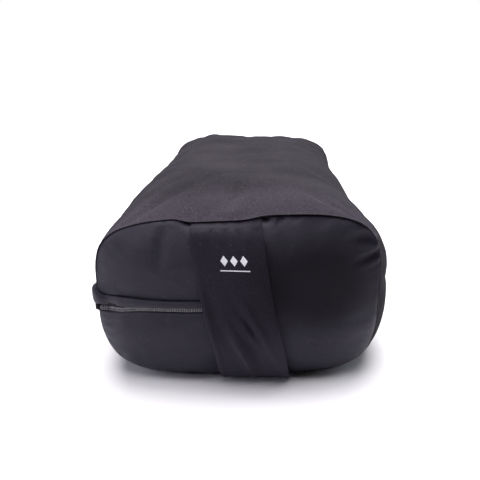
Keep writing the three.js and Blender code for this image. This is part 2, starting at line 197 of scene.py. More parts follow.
def panel_outline(end, x, up):
    """An end panel's outline, as it is for points at the given places."""
    return outline_at(end.along, INSET_BELOW + (INSET_ABOVE - INSET_BELOW) * lip_share(x, up))


def dome_out(end, x, z):
    """How far an end panel's face stands out past its seam."""
    up = np.asarray(z) - GIRTH_HEIGHT
    share = np.minimum(1, edge_share(panel_outline(end, x, up), x, up))
    power = DOME_POWER_ABOVE + (DOME_POWER_BELOW - DOME_POWER_ABOVE) * smooth(-up / DOME_CHANGE)
    return end.rise * (1 - share ** power) - RECESS_BELOW - (RECESS_ABOVE - RECESS_BELOW) * lip_share(x, up)


def handle_pull(x, up):
    """How far the handle draws the near seam down."""
    across = smooth((x - PULL_LEFT[0]) / PULL_LEFT[1]) * smooth((PULL_RIGHT[0] - x) / PULL_RIGHT[1])
    return HANDLE_PULL * across * smooth(up / 60)


def toe_out(end, x, up):
    """How far the filling's weight pushes the foot of an end forward."""
    if end is FAR:
        return 0
    width = TOE_LEFT + (TOE_RIGHT - TOE_LEFT) * smooth((x + TOE_CHANGE) / (2 * TOE_CHANGE))
    return width * smooth((-up - TOE_TOP) / TOE_HEIGHT)


# Handling of meshes and pieces
def to_object_mode():
    if bpy.context.object and bpy.context.object.mode != "OBJECT":
        bpy.ops.object.mode_set(mode="OBJECT")
    bpy.ops.object.select_all(action="DESELECT")


def use(piece):
    to_object_mode()
    piece.select_set(True)
    bpy.context.view_layer.objects.active = piece


def apply_modifiers(piece):
    use(piece)
    for modifier in list(piece.modifiers):
        bpy.ops.object.modifier_apply(modifier=modifier.name)


def subdivide(piece):
    modifier = piece.modifiers.new("Subdivision", "SUBSURF")
    modifier.levels = modifier.render_levels = 1
    modifier.use_limit_surface = False
    apply_modifiers(piece)


def thicken(piece, thickness, offset):
    modifier = piece.modifiers.new("Solidify", "SOLIDIFY")
    modifier.thickness = thickness * MM
    modifier.offset = offset
    apply_modifiers(piece)


def read_vectors(items, name):
    flat = np.empty(len(items) * 3)
    items.foreach_get(name, flat)
    return flat.reshape(-1, 3)


def coordinates(mesh):
    return read_vectors(mesh.vertices, "co") / MM


def set_coordinates(mesh, points):
    mesh.vertices.foreach_set("co", np.ascontiguousarray(points * MM).ravel())
    mesh.update()


def select_faces(piece, chosen):
    """Puts a piece in edit mode with the chosen faces selected."""
    use(piece)
    mesh = piece.data
    for items in (mesh.vertices, mesh.edges):
        items.foreach_set("select", np.zeros(len(items), bool))
    mesh.polygons.foreach_set("select", chosen)
    bpy.context.tool_settings.mesh_select_mode = (False, False, True)
    bpy.ops.object.mode_set(mode="EDIT")


def cloth_grid(name, columns, rows, place, size):
    """A sheet of cloth on a grid. Place gives its points, from -1 to 1 across and 0 to 1 down."""
    to_object_mode()
    bpy.ops.mesh.primitive_grid_add(x_subdivisions=columns, y_subdivisions=rows, size=1)
    piece = bpy.context.object
    piece.name = piece.data.name = name
    start = read_vectors(piece.data.vertices, "co")
    set_coordinates(piece.data, place(start[:, 0] * 2, 0.5 - start[:, 1]))
    cloth_map = piece.data.uv_layers.active
    cloth_map.name = "Cloth"
    for point in cloth_map.data:
        point.uv = ((point.uv[0] - 0.5) * size[0] * MM, (1 - point.uv[1]) * size[1] * MM)
    return piece


# Materials. Every size in them is in metres
def node(finish, kind, inputs, **settings):
    """A node with its settings, and its inputs given as values or as other nodes' outputs."""
    made = finish.node_tree.nodes.new("ShaderNode" + kind)
    for name, value in settings.items():
        setattr(made, name, value)
    for name, value in inputs.items():
        if isinstance(value, bpy.types.NodeSocket):
            finish.node_tree.links.new(value, made.inputs[name])
        else:
            made.inputs[name].default_value = value
    return made


def reckon(finish, operation, first, second=0.0, third=0.0):
    made = node(finish, "Math", {0: first, 1: second, 2: third}, operation=operation)
    return made.outputs["Value"]


def spread(finish, value, low, high, to_low=0.0, to_high=1.0):
    inputs = {"Value": value, "From Min": low, "From Max": high, "To Min": to_low, "To Max": to_high}
    return node(finish, "MapRange", inputs, interpolation_type="SMOOTHSTEP").outputs["Result"]


def noise(finish, place, scale, detail=2.0):
    return node(finish, "TexNoise", {"Vector": place, "Scale": scale, "Detail": detail}).outputs["Fac"]


def blend_color(finish, share, first, second):
    made = node(finish, "Mix", {"Factor": share}, data_type="RGBA")
    sockets = [s for s in made.inputs if s.type == "RGBA"]
    for socket, value in zip(sockets, (first, second)):
        if isinstance(value, bpy.types.NodeSocket):
            finish.node_tree.links.new(value, socket)
        else:
            socket.default_value = (*value, 1)
    return next(s for s in made.outputs if s.type == "RGBA")


def new_finish(name, roughness, specular, sheen):
    finish = bpy.data.materials.new(name)
    finish.use_nodes = True
    shader = finish.node_tree.nodes["Principled BSDF"]
    shader.inputs["Roughness"].default_value = roughness
    shader.inputs["Specular IOR Level"].default_value = specular
    shader.inputs["Sheen Weight"].default_value = sheen
    shader.inputs["Sheen Roughness"].default_value = 0.5
    return finish, shader


def place_on(finish):
    return node(finish, "TexCoord", {}).outputs["Object"]


def cloth_map_of(finish):
    return node(finish, "UVMap", {}, uv_map="Cloth").outputs["UV"]


def woven(finish, pitch, twill):
    """Height of a weave, from -1 to 1: plain, or with the diagonal ribs of a twill."""
    uneven = node(finish, "TexNoise", {"Vector": cloth_map_of(finish), "Scale": 160.0, "Detail": 1.0})
    turns = node(finish, "VectorMath", {0: cloth_map_of(finish), 1: (2 * math.pi / pitch,) * 3},
                 operation="MULTIPLY").outputs["Vector"]
    wavering = node(finish, "VectorMath", {0: uneven.outputs["Color"], 1: (2.2, 2.2, 0), 2: turns},
                    operation="MULTIPLY_ADD").outputs["Vector"]
    parts = node(finish, "SeparateXYZ", {"Vector": wavering}).outputs
    if twill:
        return reckon(finish, "SINE", reckon(finish, "ADD", parts["X"], parts["Y"]))
    return reckon(finish, "MULTIPLY", reckon(finish, "SINE", parts["X"]), reckon(finish, "SINE", parts["Y"]))


def lint(finish, place, scale, size, share):
    """Small specks of lint, in the given share of the cells of a pattern."""
    cells = node(finish, "TexVoronoi", {"Vector": place, "Scale": scale})
    near = reckon(finish, "LESS_THAN", cells.outputs["Distance"], size)
    some = node(finish, "SeparateColor", {"Color": cells.outputs["Color"]}).outputs["Red"]
    return reckon(finish, "MULTIPLY", near, reckon(finish, "LESS_THAN", some, share))


Cotton = namedtuple("Cotton", "name deep pale lint_color pitch twill dust crest foot fresh clouds mottle "
                              "lint_share roughness specular shine_color sheen")
COVER = Cotton("cover_cotton", (0.0106, 0.0092, 0.0116), (0.0450, 0.0400, 0.0495), (0.16, 0.135, 0.135),
               0.0009, False, 0.26, 0.4, 0.0, 0.0, 0.2, 1.2, 0.55, 0.95, 0.04, (1, 1, 1), 0.012)
PANEL = Cotton("panel_cotton", (0.0050, 0.0045, 0.0074), (0.0100, 0.0090, 0.0146), (0.06, 0.06, 0.07),
               0.0008, True, 0.2, 0.0, 1.4, 0.82, 0.32, 1.6, 0.3, 0.56, 0.32, (0.86, 0.80, 1.0), 0.012)
STRAP = Cotton("handle_cotton", (0.0099, 0.0086, 0.0130), (0.0206, 0.0182, 0.0262), (0.05, 0.05, 0.056),
               0.0007, True, 0.0, 0.0, 1.3, 0.4, 0.32, 1.2, 0.2, 0.78, 0.13, (0.88, 0.82, 1.0), 0.012)
# The cloth is made paler on the rounded top edge of the near end, and painted floor-bounce light makes it paler
# where it meets the floor.
# Painted shade darkens the cloth to a deep, dull black in the hollow of the near end's right side
CREST_FROM, CREST_TO = -0.24, -0.31
FOOT_FROM, FOOT_TO = 0.085, 0.015
PAINTED_SHADE_MIDDLE = (0.080, -0.35, 0.108)
PAINTED_SHADE_SPREAD = (0.092, 0.1, 0.060)


def painted_hollow_shade(finish, place, most):
    """How much painted shade darkens and dulls the black, most in the hollow of the near end's right side."""
    beside = node(finish, "VectorMath", {0: place, 1: PAINTED_SHADE_MIDDLE}, operation="SUBTRACT").outputs["Vector"]
    measured = node(finish, "VectorMath", {0: beside, 1: PAINTED_SHADE_SPREAD}, operation="DIVIDE").outputs["Vector"]
    distance = node(finish, "VectorMath", {0: measured}, operation="LENGTH").outputs["Value"]
    return spread(finish, distance, 1.15, 0.35, 0.0, most)


def cotton(kind):
    """Washed black cotton: a fine weave, cloudy fading, dust where it faces up, a paler top edge, painted
    floor-bounce light near the floor, painted shade in one hollow, and specks of lint.
    """
    finish, shader = new_finish(kind.name, kind.roughness, kind.specular, kind.sheen)
    place = place_on(finish)
    where = node(finish, "SeparateXYZ", {"Vector": place}).outputs
    clouds = noise(finish, place, 11.0, 4.0)
    crumbs = noise(finish, place, 420.0, 3.0)
    facing = node(finish, "NewGeometry", {}).outputs["Normal"]
    upward = node(finish, "SeparateXYZ", {"Vector": facing}).outputs["Z"]
    settled = reckon(finish, "MULTIPLY", spread(finish, upward, 0.1, 0.95), kind.dust)
    # The rounded top edge of the near end is made paler where it faces up
    crest = reckon(finish, "MULTIPLY", spread(finish, where["Y"], CREST_FROM, CREST_TO, 0.0, kind.crest),
                   spread(finish, upward, 0.25, 0.7))
    # Painted floor-bounce light: the cloth is made paler towards the floor
    foot = spread(finish, where["Z"], FOOT_FROM, FOOT_TO, 0.0, kind.foot)
    dust_crest_and_painted_bounce = reckon(finish, "ADD", reckon(finish, "ADD", settled, crest), foot)
    fading_and_painted_bounce = reckon(finish, "MULTIPLY_ADD", spread(finish, clouds, 0.3, 0.72), kind.clouds, dust_crest_and_painted_bounce)
    mottled_tone = reckon(finish, "MULTIPLY_ADD", reckon(finish, "SUBTRACT", crumbs, 0.5), kind.mottle, fading_and_painted_bounce)
    thread = woven(finish, kind.pitch, kind.twill)
    shaded = reckon(finish, "MULTIPLY_ADD", thread, 0.12, mottled_tone)
    color = blend_color(finish, reckon(finish, "MAXIMUM", shaded, 0.0), kind.deep, kind.pale)
    specks = lint(finish, place, 240.0, 0.13, kind.lint_share)
    fluff = lint(finish, place, 90.0, 0.07, kind.lint_share * 0.6)
    flecked = reckon(finish, "MULTIPLY", reckon(finish, "MAXIMUM", specks, fluff), 0.55)
    color = blend_color(finish, flecked, color, kind.lint_color)
    # Painted shade: the colour is darkened towards black in the hollow of the near end's right side, and the cloth
    # is made duller there
    fresh = painted_hollow_shade(finish, place, kind.fresh)
    color = blend_color(finish, fresh, color, (0.0, 0.0, 0.0))
    slack = node(finish, "Bump", {"Height": noise(finish, place, 45.0, 3.0), "Strength": 0.35, "Distance": 0.0012})
    relief = node(finish, "Bump", {"Height": thread, "Strength": 0.4, "Distance": kind.pitch * 0.18,
                                   "Normal": slack.outputs["Normal"]})
    roughness = spread(finish, clouds, 0.25, 0.75, kind.roughness, kind.roughness - 0.12)
    roughness = reckon(finish, "MULTIPLY_ADD", fresh, 0.5, roughness)
    shader.inputs["Specular Tint"].default_value = (*kind.shine_color, 1)
    finish.node_tree.links.new(roughness, shader.inputs["Roughness"])
    finish.node_tree.links.new(relief.outputs["Normal"], shader.inputs["Normal"])
    finish.node_tree.links.new(color, shader.inputs["Base Color"])
    return finish


# The printed ornament on the handle: a row of lozenges over a thin line, in the handle's own measure
ORNAMENT_ACROSS = 0.004
ORNAMENT_DOWN = 0.047
LOZENGES = 3
LOZENGE_PITCH = 0.0095
LOZENGE_HALF_WIDTH = 0.0036
LOZENGE_HALF_HEIGHT = 0.0052
RULE_BELOW = 0.0095
RULE_HALF_THICKNESS = 0.0005
PRINT_WHITE = (0.62, 0.62, 0.64)


def ornament(finish):
    parts = node(finish, "SeparateXYZ", {"Vector": cloth_map_of(finish)}).outputs
    across = reckon(finish, "SUBTRACT", parts["X"], ORNAMENT_ACROSS)
    down = reckon(finish, "SUBTRACT", parts["Y"], ORNAMENT_DOWN)
    half_row = LOZENGES * LOZENGE_PITCH / 2
    in_row = reckon(finish, "LESS_THAN", reckon(finish, "ABSOLUTE", across), half_row)
    repeated = reckon(finish, "WRAP", across, LOZENGE_PITCH / 2, -LOZENGE_PITCH / 2)
    beside = reckon(finish, "DIVIDE", reckon(finish, "ABSOLUTE", repeated), LOZENGE_HALF_WIDTH)
    above = reckon(finish, "DIVIDE", reckon(finish, "ABSOLUTE", down), LOZENGE_HALF_HEIGHT)
    lozenge = reckon(finish, "LESS_THAN", reckon(finish, "ADD", beside, above), 1.0)
    rule = reckon(finish, "COMPARE", down, RULE_BELOW, RULE_HALF_THICKNESS)
    printed = reckon(finish, "MULTIPLY", reckon(finish, "MAXIMUM", lozenge, rule), in_row)
    mottled_tone = spread(finish, noise(finish, place_on(finish), 900.0, 2.0), 0.2, 0.45, 0.72, 1.0)
    return reckon(finish, "MULTIPLY", printed, mottled_tone)


def handle_finish():
    finish = cotton(STRAP)
    shader = finish.node_tree.nodes["Principled BSDF"]
    cloth = shader.inputs["Base Color"].links[0].from_socket
    printed = blend_color(finish, ornament(finish), cloth, PRINT_WHITE)
    finish.node_tree.links.new(printed, shader.inputs["Base Color"])
    return finish


TAPE_PITCH = 0.0006


def tape_finish():
    """A tightly woven nylon tape with a slight shine."""
    finish, shader = new_finish("zip_tape_weave", 0.5, 0.35, 0.02)
    thread = woven(finish, TAPE_PITCH, True)
    share = spread(finish, thread, -1.0, 1.0, 0.2, 0.8)
    color = blend_color(finish, share, (0.030, 0.029, 0.033), (0.080, 0.077, 0.086))
    relief = node(finish, "Bump", {"Height": thread, "Strength": 0.5, "Distance": TAPE_PITCH * 0.2})
    finish.node_tree.links.new(color, shader.inputs["Base Color"])
    finish.node_tree.links.new(relief.outputs["Normal"], shader.inputs["Normal"])
    return finish


def nylon_finish():
    """Moulded nylon, a little uneven in tone and gloss from tooth to tooth."""
    finish, shader = new_finish("zip_nylon", 0.3, 0.5, 0.0)
    place = place_on(finish)
    share = spread(finish, noise(finish, place, 300.0, 2.0), 0.3, 0.7)
    color = blend_color(finish, share, (0.12, 0.117, 0.128), (0.25, 0.244, 0.263))
    finish.node_tree.links.new(color, shader.inputs["Base Color"])
    gloss = spread(finish, noise(finish, place, 700.0, 2.0), 0.3, 0.7, 0.24, 0.42)
    finish.node_tree.links.new(gloss, shader.inputs["Roughness"])
    return finish


def floor_finish():
    finish, shader = new_finish("pale_floor", 0.9, 0.1, 0.0)
    shader.inputs["Base Color"].default_value = (0.8, 0.8, 0.8, 1)
    return finish


# The filled form: one closed skin, blown up by cloth simulation and then cut at its two seams
AROUND = 160
BEND_WEIGHT = 90
WRAP_STEPS = 120
PANEL_RINGS = 24
NEAR_SEAM = PANEL_RINGS + 1
FAR_SEAM = NEAR_SEAM + WRAP_STEPS
LAST_RING = FAR_SEAM + PANEL_RINGS
FLOOR_CLEARANCE = 0.2


def turns_around(count):
    """Angles that step evenly round the seam, closer where it bends."""
    fine = np.linspace(0, 2 * np.pi, 2881)
    x, up = outline_points(outline_at(0), fine)
    heading = np.unwrap(np.arctan2(np.diff(up), np.diff(x)))
    bend = np.abs(np.diff(heading, prepend=heading[-1] - 2 * np.pi))
    run = distances(np.stack([x, up], axis=1)) + np.concatenate([[0], np.cumsum(bend)]) * BEND_WEIGHT
    return np.interp(np.arange(count) / count * run[-1], run, fine)


TURNS = turns_around(AROUND)


def swelling(across, along):
    return sum(s.height * bell((across - s.across) / s.spread_across) * bell((along - s.along) / s.spread_along)
               for s in SWELLINGS)


def wrap_ring(along):
    """A ring of the main panel at a place along the cushion."""
    outline = outline_at(along)
    x, up = outline_points(outline, TURNS)
    lift = np.where(up > 0, swelling(x, along) * smooth(up / reach(outline, x, up)), 0)
    lift = lift - handle_pull(x, up) * (1 - smooth(along / PULL_REACH))
    z = np.maximum(FLOOR_CLEARANCE, GIRTH_HEIGHT + up + lift)
    forward = toe_out(NEAR, x, up) * (1 - smooth(along / TOE_REACH))
    return np.stack([x, along - LENGTH / 2 - forward, z], axis=1)


def end_ring(end, share, depth=0.0):
    """A ring of an end panel, at a share of the way to its edge and a depth behind its face."""
    x, up = outline_points(outline_at(end.along), TURNS)
    x, up = outline_points(panel_outline(end, x, up), TURNS)
    x, z = x * share, up * share + GIRTH_HEIGHT
    out = dome_out(end, x, z) + toe_out(end, x, up * share) - depth
    if end is NEAR:
        z = z - handle_pull(x, up) * share ** 5
    return np.stack([x, end.side * (LENGTH / 2 + out), z], axis=1)


def end_middle(end, depth=0.0):
    out = float(dome_out(end, 0, GIRTH_HEIGHT)) - depth
    return np.array([0, end.side * (LENGTH / 2 + out), GIRTH_HEIGHT])


def form_rings():
    """All rings in order, from the middle of the near panel to the middle of the far one."""
    shares = [(i + 1) / PANEL_RINGS for i in range(PANEL_RINGS)]
    near = [end_ring(NEAR, share) for share in shares]
    wrap = [wrap_ring(LENGTH * i / WRAP_STEPS) for i in range(WRAP_STEPS + 1)]
    far = [end_ring(FAR, share) for share in reversed(shares)]
    poles = [np.tile(end_middle(end), (AROUND, 1)) for end in (NEAR, FAR)]
    return np.array([poles[0], *near, *wrap, *far, poles[1]])


def filled_form():
    to_object_mode()
    bpy.ops.mesh.primitive_uv_sphere_add(segments=AROUND, ring_count=LAST_RING + 1, radius=1)
    form = bpy.context.object
    form.name = "filled_form"
    start = read_vectors(form.data.vertices, "co")
    ring = np.rint(np.arccos(np.clip(start[:, 2], -1, 1)) * (LAST_RING + 1) / np.pi).astype(np.int32)
    column = np.rint(np.arctan2(start[:, 1], start[:, 0]) / (2 * np.pi) * AROUND).astype(np.int32) % AROUND
    rings = form_rings()
    set_coordinates(form.data, rings[ring, column])
    for name, values in (("ring", ring), ("column", column)):
        form.data.attributes.new(name, "INT", "POINT").data.foreach_set("value", values)
    lay_cloth_map(form.data, ring.tolist(), column.tolist(), rings)
    return form


def lay_cloth_map(mesh, ring, column, rings):
    """The cloth's own flat measure: across and up on the panels, round and along on the wrap."""
    middle = rings[(NEAR_SEAM + FAR_SEAM) // 2]
    around = distances(np.vstack([middle, middle[:1]])) * MM
    flat = rings * MM
    cloth_map = mesh.uv_layers.active
    cloth_map.name = "Cloth"
    places = np.empty((len(mesh.loops), 2))
    for face in mesh.polygons:
        rows = [ring[v] for v in face.vertices]
        columns = [column[v] for v in face.vertices]
        on_wrap = NEAR_SEAM <= min(rows) and max(rows) <= FAR_SEAM
        crosses = max(columns) - min(columns) > AROUND / 2
        for loop, row, place in zip(face.loop_indices, rows, columns):
            if on_wrap:
                places[loop] = around[AROUND if crosses and place == 0 else place], flat[row, place, 1]
            else:
                places[loop] = flat[row, place, 0], flat[row, place, 2]
    cloth_map.data.foreach_set("uv", places.ravel())


# Simulation of the filling's pressure
PRESSURE = 4.0
CLOTH_GROWTH = 0.006
MOST_MOVED = 4.0
SIMULATED_FRAMES = 20
BROAD = 7
BROAD_SHARE = 0.85
FLOOR_CONTACT = 2.5
HELD_ABOVE_ZIP = 11
HELD_BELOW_ZIP = 7


def held_points(points, ring):
    """The seams, the cloth beside the zip and what lies on the floor don't move."""
    x, _, z = points.T
    seams = np.isin(ring, (NEAR_SEAM - 1, NEAR_SEAM, FAR_SEAM, FAR_SEAM + 1))
    beside_zip = (z > ZIP_HEIGHT - HELD_BELOW_ZIP) & (z < ZIP_HEIGHT + HELD_ABOVE_ZIP) & (x < ZIP_START)
    return seams | (beside_zip & (ring <= FAR_SEAM)) | (z < FLOOR_CONTACT)


def read_numbers(mesh, name):
    numbers = np.empty(len(mesh.vertices), np.int32)
    mesh.attributes[name].data.foreach_get("value", numbers)
    return numbers


def fine_folds(moved, mesh):
    """The settled cloth's folds alone: the filling keeps the main form, so a broad average is taken out."""
    ring, column = read_numbers(mesh, "ring"), read_numbers(mesh, "column")
    grid = np.zeros((LAST_RING + 2, AROUND, 3))
    grid[ring, column] = moved
    reach = range(-BROAD, BROAD + 1)
    broad = sum(np.roll(grid, step, axis=1) for step in reach) / len(reach)
    rows = np.clip(np.arange(LAST_RING + 2)[:, None] + np.array(reach), 0, LAST_RING + 1)
    broad = broad[rows].mean(axis=1)
    return moved - BROAD_SHARE * broad[ring, column]


def blow_up(form):
    """The cloth settles round the filling under pressure from inside, and its slack gathers at the seams."""
    before = coordinates(form.data)
    ring = read_numbers(form.data, "ring")
    held = form.vertex_groups.new(name="held")
    held.add(np.flatnonzero(held_points(before, ring)).tolist(), 1.0, "REPLACE")
    cloth = form.modifiers.new("Cloth", "CLOTH")
    cloth.settings.quality = 6
    cloth.settings.mass = 0.3
    cloth.settings.tension_stiffness = 30
    cloth.settings.compression_stiffness = 15
    cloth.settings.bending_stiffness = 0.3
    cloth.settings.use_pressure = True
    cloth.settings.uniform_pressure_force = PRESSURE
    cloth.settings.shrink_min = -CLOTH_GROWTH
    cloth.settings.vertex_group_mass = held.name
    cloth.settings.effector_weights.gravity = 0
    cloth.collision_settings.use_collision = False
    for number in range(1, SIMULATED_FRAMES + 1):
        bpy.context.scene.frame_set(number)
    apply_modifiers(form)
    bpy.context.scene.frame_set(1)
    moved = fine_folds(coordinates(form.data) - before, form.data)
    distance = np.linalg.norm(moved, axis=1, keepdims=True)
    after = before + moved * np.minimum(1, MOST_MOVED / np.maximum(distance, 1e-6))
    after[:, 2] = np.maximum(after[:, 2], FLOOR_CLEARANCE)
    set_coordinates(form.data, after)


def part_of(form, name, first, last):
    """A copy of the form's rings from first to last."""
    piece = form.copy()
    piece.data = form.data.copy()
    piece.name = piece.data.name = name
    piece.vertex_groups.clear()
    bpy.context.collection.objects.link(piece)
    mesh = bmesh.new()
    mesh.from_mesh(piece.data)
    ring = mesh.verts.layers.int["ring"]
    outside = [v for v in mesh.verts if not first <= v[ring] <= last]
    bmesh.ops.delete(mesh, geom=outside, context="VERTS")
    mesh.to_mesh(piece.data)
    mesh.free()
    return piece


# Small puckers that the stitching leaves in the cloth on both sides of a seam, as distances round it
Pucker = namedtuple("Pucker", "place spread reach lift")
SEAM_FINE = np.linspace(-np.pi, np.pi, 1441)
PUCKER_FADE = 2.0


def seam_measure():
    """The directions from the girth's middle towards the seam, and the distance round it at each."""
    x, up = outline_points(outline_at(0), SEAM_FINE)
    return np.unwrap(np.arctan2(up, x)), distances(np.stack([x, up], axis=1))


SEAM_DIRECTIONS, SEAM_RUN = seam_measure()


def scattered_puckers(seed, lift):
    draw = random.Random(seed)
    place, made = 0, []
    while place < SEAM_RUN[-1]:
        made.append(Pucker(place, draw.uniform(1.8, 3.6), draw.uniform(9, 26), draw.uniform(-lift, lift)))
        place += draw.uniform(4.5, 11)
    return made


def pucker_height(puckers, x, up, depth):
    """How far the puckers lift the cloth at a depth from the seam, in the direction of x and up."""
    run = np.interp(np.arctan2(up, x), SEAM_DIRECTIONS, SEAM_RUN)
    total = np.zeros_like(run)
    for p in puckers:
        total += p.lift * bell((run - p.place) / p.spread) * smooth(1 - depth / p.reach)
    return total * smooth(depth / PUCKER_FADE)


# The cover: the wrap with its edges folded in at the seams. A fold's rows are how far in from the seam
# it lies and how far out past it, where it stands over the panel and where it lies flush behind it
Fold = namedtuple("Fold", "inset_above out_above inset_below out_below")
FOLD_PROFILE = [
    Fold(0.2, 0.3, 0.01, -0.2),
    Fold(0.8, 0.45, 0.02, -0.9),
    Fold(1.35, 0.0, 0.03, -1.9),
    Fold(1.6, -3.0, 1.6, -3.2),
]
SEAT_SHARES = (0.93, 0.7, 0.35)
SEAT_DEPTH = 9
# Across the top of the near end the fold stands further over the panel
OVERHANG = 0.8
OVERHANG_MIDDLE = 75
OVERHANG_SPREAD = 42
WRAP_PUCKER_LIFT = 0.35
# A small fold pushed up at the far end of the top
FAR_FOLD = Swelling(-80, 641, 22, 9, 5.5)


def fold_ring(end, fold):
    """A ring of the cover's turned-in edge."""
    lip = lip_share(*outline_points(outline_at(end.along), TURNS))
    x, up = outline_points(outline_at(end.along, fold.inset_below + (fold.inset_above - fold.inset_below) * lip),
                           TURNS)
    out = fold.out_below + (fold.out_above - fold.out_below) * lip + toe_out(end, x, up)
    z = up + GIRTH_HEIGHT
    if end is NEAR:
        overhang = OVERHANG * bell((np.degrees(TURNS) - OVERHANG_MIDDLE) / OVERHANG_SPREAD)
        out = out + overhang * (fold.out_above > 0)
        z = z - handle_pull(x, up)
    return np.stack([x, end.side * (LENGTH / 2 + out), z], axis=1)


def grow_edge(mesh, edge):
    """Extrudes a ring of edges, and returns the new points."""
    inside = set(edge)
    edges = {e for v in edge for e in v.link_edges if e.is_boundary and e.other_vert(v) in inside}
    grown = bmesh.ops.extrude_edge_only(mesh, edges=list(edges))["geom"]
    return [v for v in grown if isinstance(v, bmesh.types.BMVert)]


def turn_in_edge(mesh, seam, end):
    """Folds the cover's edge in at a seam and closes it over the filling behind the end panel."""
    ring = mesh.verts.layers.int["ring"]
    column = mesh.verts.layers.int["column"]
    inner = [fold_ring(end, fold) for fold in FOLD_PROFILE]
    inner += [end_ring(end, share, SEAT_DEPTH) for share in SEAT_SHARES]
    edge = [v for v in mesh.verts if v[ring] == seam]
    for points in inner:
        edge = grow_edge(mesh, edge)
        for v in edge:
            v[ring] = -1
            v.co = points[v[column]] * MM
    middle = Vector(end_middle(end, SEAT_DEPTH) * MM)
    bmesh.ops.pointmerge(mesh, verts=grow_edge(mesh, edge), merge_co=middle)


def ruffle_wrap(piece):
    """Puckers the wrap beside both seams and pushes up the small fold at the far end."""
    points = coordinates(piece.data)
    facing = read_vectors(piece.data.vertices, "normal")
    x, along, up = points[:, 0], points[:, 1] + LENGTH / 2, points[:, 2] - GIRTH_HEIGHT
    lift = np.zeros(len(points))
    for seed, depth in ((3, along), (4, LENGTH - along)):
        inside = np.maximum(depth, 0)
        lift += pucker_height(scattered_puckers(seed, WRAP_PUCKER_LIFT), x, up, inside) * (depth > 0)
    lift[points[:, 2] < FLOOR_CONTACT] = 0
    points += facing * lift[:, None]
    f = FAR_FOLD
    fold = f.height * bell((x - f.across) / f.spread_across) * bell((along - f.along) / f.spread_along)
    points[:, 2] += np.where(up > 40, fold, 0)
    set_coordinates(piece.data, points)


def cover(form):
    piece = part_of(form, "cover_main", NEAR_SEAM, FAR_SEAM)
    mesh = bmesh.new()
    mesh.from_mesh(piece.data)
    turn_in_edge(mesh, NEAR_SEAM, NEAR)
    turn_in_edge(mesh, FAR_SEAM, FAR)
    bmesh.ops.recalc_face_normals(mesh, faces=mesh.faces)
    mesh.to_mesh(piece.data)
    mesh.free()
    subdivide(piece)
    ruffle_wrap(piece)
    cut_zip_slot(piece, -100, ZIP_END - LENGTH / 2)
    return piece


# The end panels
PANEL_THICKNESS = 1.6
PANEL_PUCKER_LIFT = 0.7

# Gathers of the near panel. Turn is the angle round it, from +X towards +Z, and reach a share of the panel.
# Slant is how much the turn grows from the panel's edge to the gather's inner end
Gather = namedtuple("Gather", "turn spread depth reach slant", defaults=[0])
GATHERS = [
    Gather(36, 3.4, -1.0, 0.2),
    Gather(23.5, 3.6, 7.0, 0.26, 6.5),
    Gather(19.5, 1.5, -2.6, 0.27, 4.5),
    Gather(17.0, 1.6, 5.4, 0.27, 1.2),
    Gather(14.6, 1.1, -1.4, 0.2, 0.8),
    Gather(12.6, 1.2, 1.0, 0.14),
    Gather(10.2, 1.0, -0.7, 0.1),
    Gather(7.4, 1.1, 0.8, 0.1),
    Gather(4.4, 1.0, -0.6, 0.09),
    Gather(0.5, 1.2, 0.7, 0.1),
    Gather(-4.3, 1.1, -0.5, 0.08),
    Gather(-8.5, 1.2, 0.6, 0.09),
    Gather(-14, 1.3, -0.5, 0.09),
    Gather(49.7, 1.7, -0.7, 0.12),
    Gather(53, 1.6, 0.9, 0.13),
    Gather(56.7, 1.5, -0.9, 0.12),
    Gather(60.4, 1.7, 1.5, 0.15),
    Gather(64.4, 1.5, -1.2, 0.12),
    Gather(67.8, 1.4, 1.5, 0.14),
    Gather(122, 2.6, 1.0, 0.13),
    Gather(130, 2.2, -0.6, 0.1),
    Gather(188.6, 1.2, 0.9, 0.14),
    Gather(191.4, 1.1, -0.8, 0.13),
    Gather(194.6, 1.3, 1.4, 0.17),
    Gather(197.6, 1.1, -0.9, 0.15),
    Gather(200.8, 1.3, 1.3, 0.16),
    Gather(204.2, 1.2, -0.8, 0.14),
    Gather(207.6, 1.3, 1.0, 0.13),
    Gather(212, 1.5, -0.6, 0.11),
]
GATHER_FADE = 0.03

# Where the handle's two corners are sewn in, the panel is pulled into small holes
HANDLE_HOLES = [(-46.5, 165.5), (29, 168)]
HOLE_DEPTH = 6
HOLE_SPREAD = 3.2


def gathered(x, up, share):
    turn = np.degrees(np.arctan2(up, x))
    total = np.zeros_like(turn)
    for g in GATHERS:
        offset = (turn - g.turn - g.slant * (1 - share) / g.reach + 540) % 360 - 180
        total += g.depth * bell(offset / g.spread) * smooth((share - 1 + g.reach) / g.reach)
    return total * (1 - smooth((share - 1 + GATHER_FADE) / GATHER_FADE))


def ruffle_panel(piece, end, seed):
    """Presses the gathers, puckers and sewn-in corners into a panel."""
    points = coordinates(piece.data)
    x, up = points[:, 0], points[:, 2] - GIRTH_HEIGHT
    share = np.clip(edge_share(panel_outline(end, x, up), x, up), 0.02, 1)
    depth = np.hypot(x, up) * (1 / share - 1)
    out = pucker_height(scattered_puckers(seed, PANEL_PUCKER_LIFT), x, up, depth)
    if end is NEAR:
        out -= gathered(x, up, share)
        for hole_x, hole_z in HANDLE_HOLES:
            out -= HOLE_DEPTH * bell(np.hypot(x - hole_x, points[:, 2] - hole_z) / HOLE_SPREAD)
    points[:, 1] += end.side * out
    set_coordinates(piece.data, points)


def end_panel(form, name, end, first, last, seed):
    piece = part_of(form, name, first, last)
    subdivide(piece)
    ruffle_panel(piece, end, seed)
    if end is NEAR:
        cut_zip_slot(piece, ZIP_START, LENGTH)
    thicken(piece, PANEL_THICKNESS, -1)
    return piece


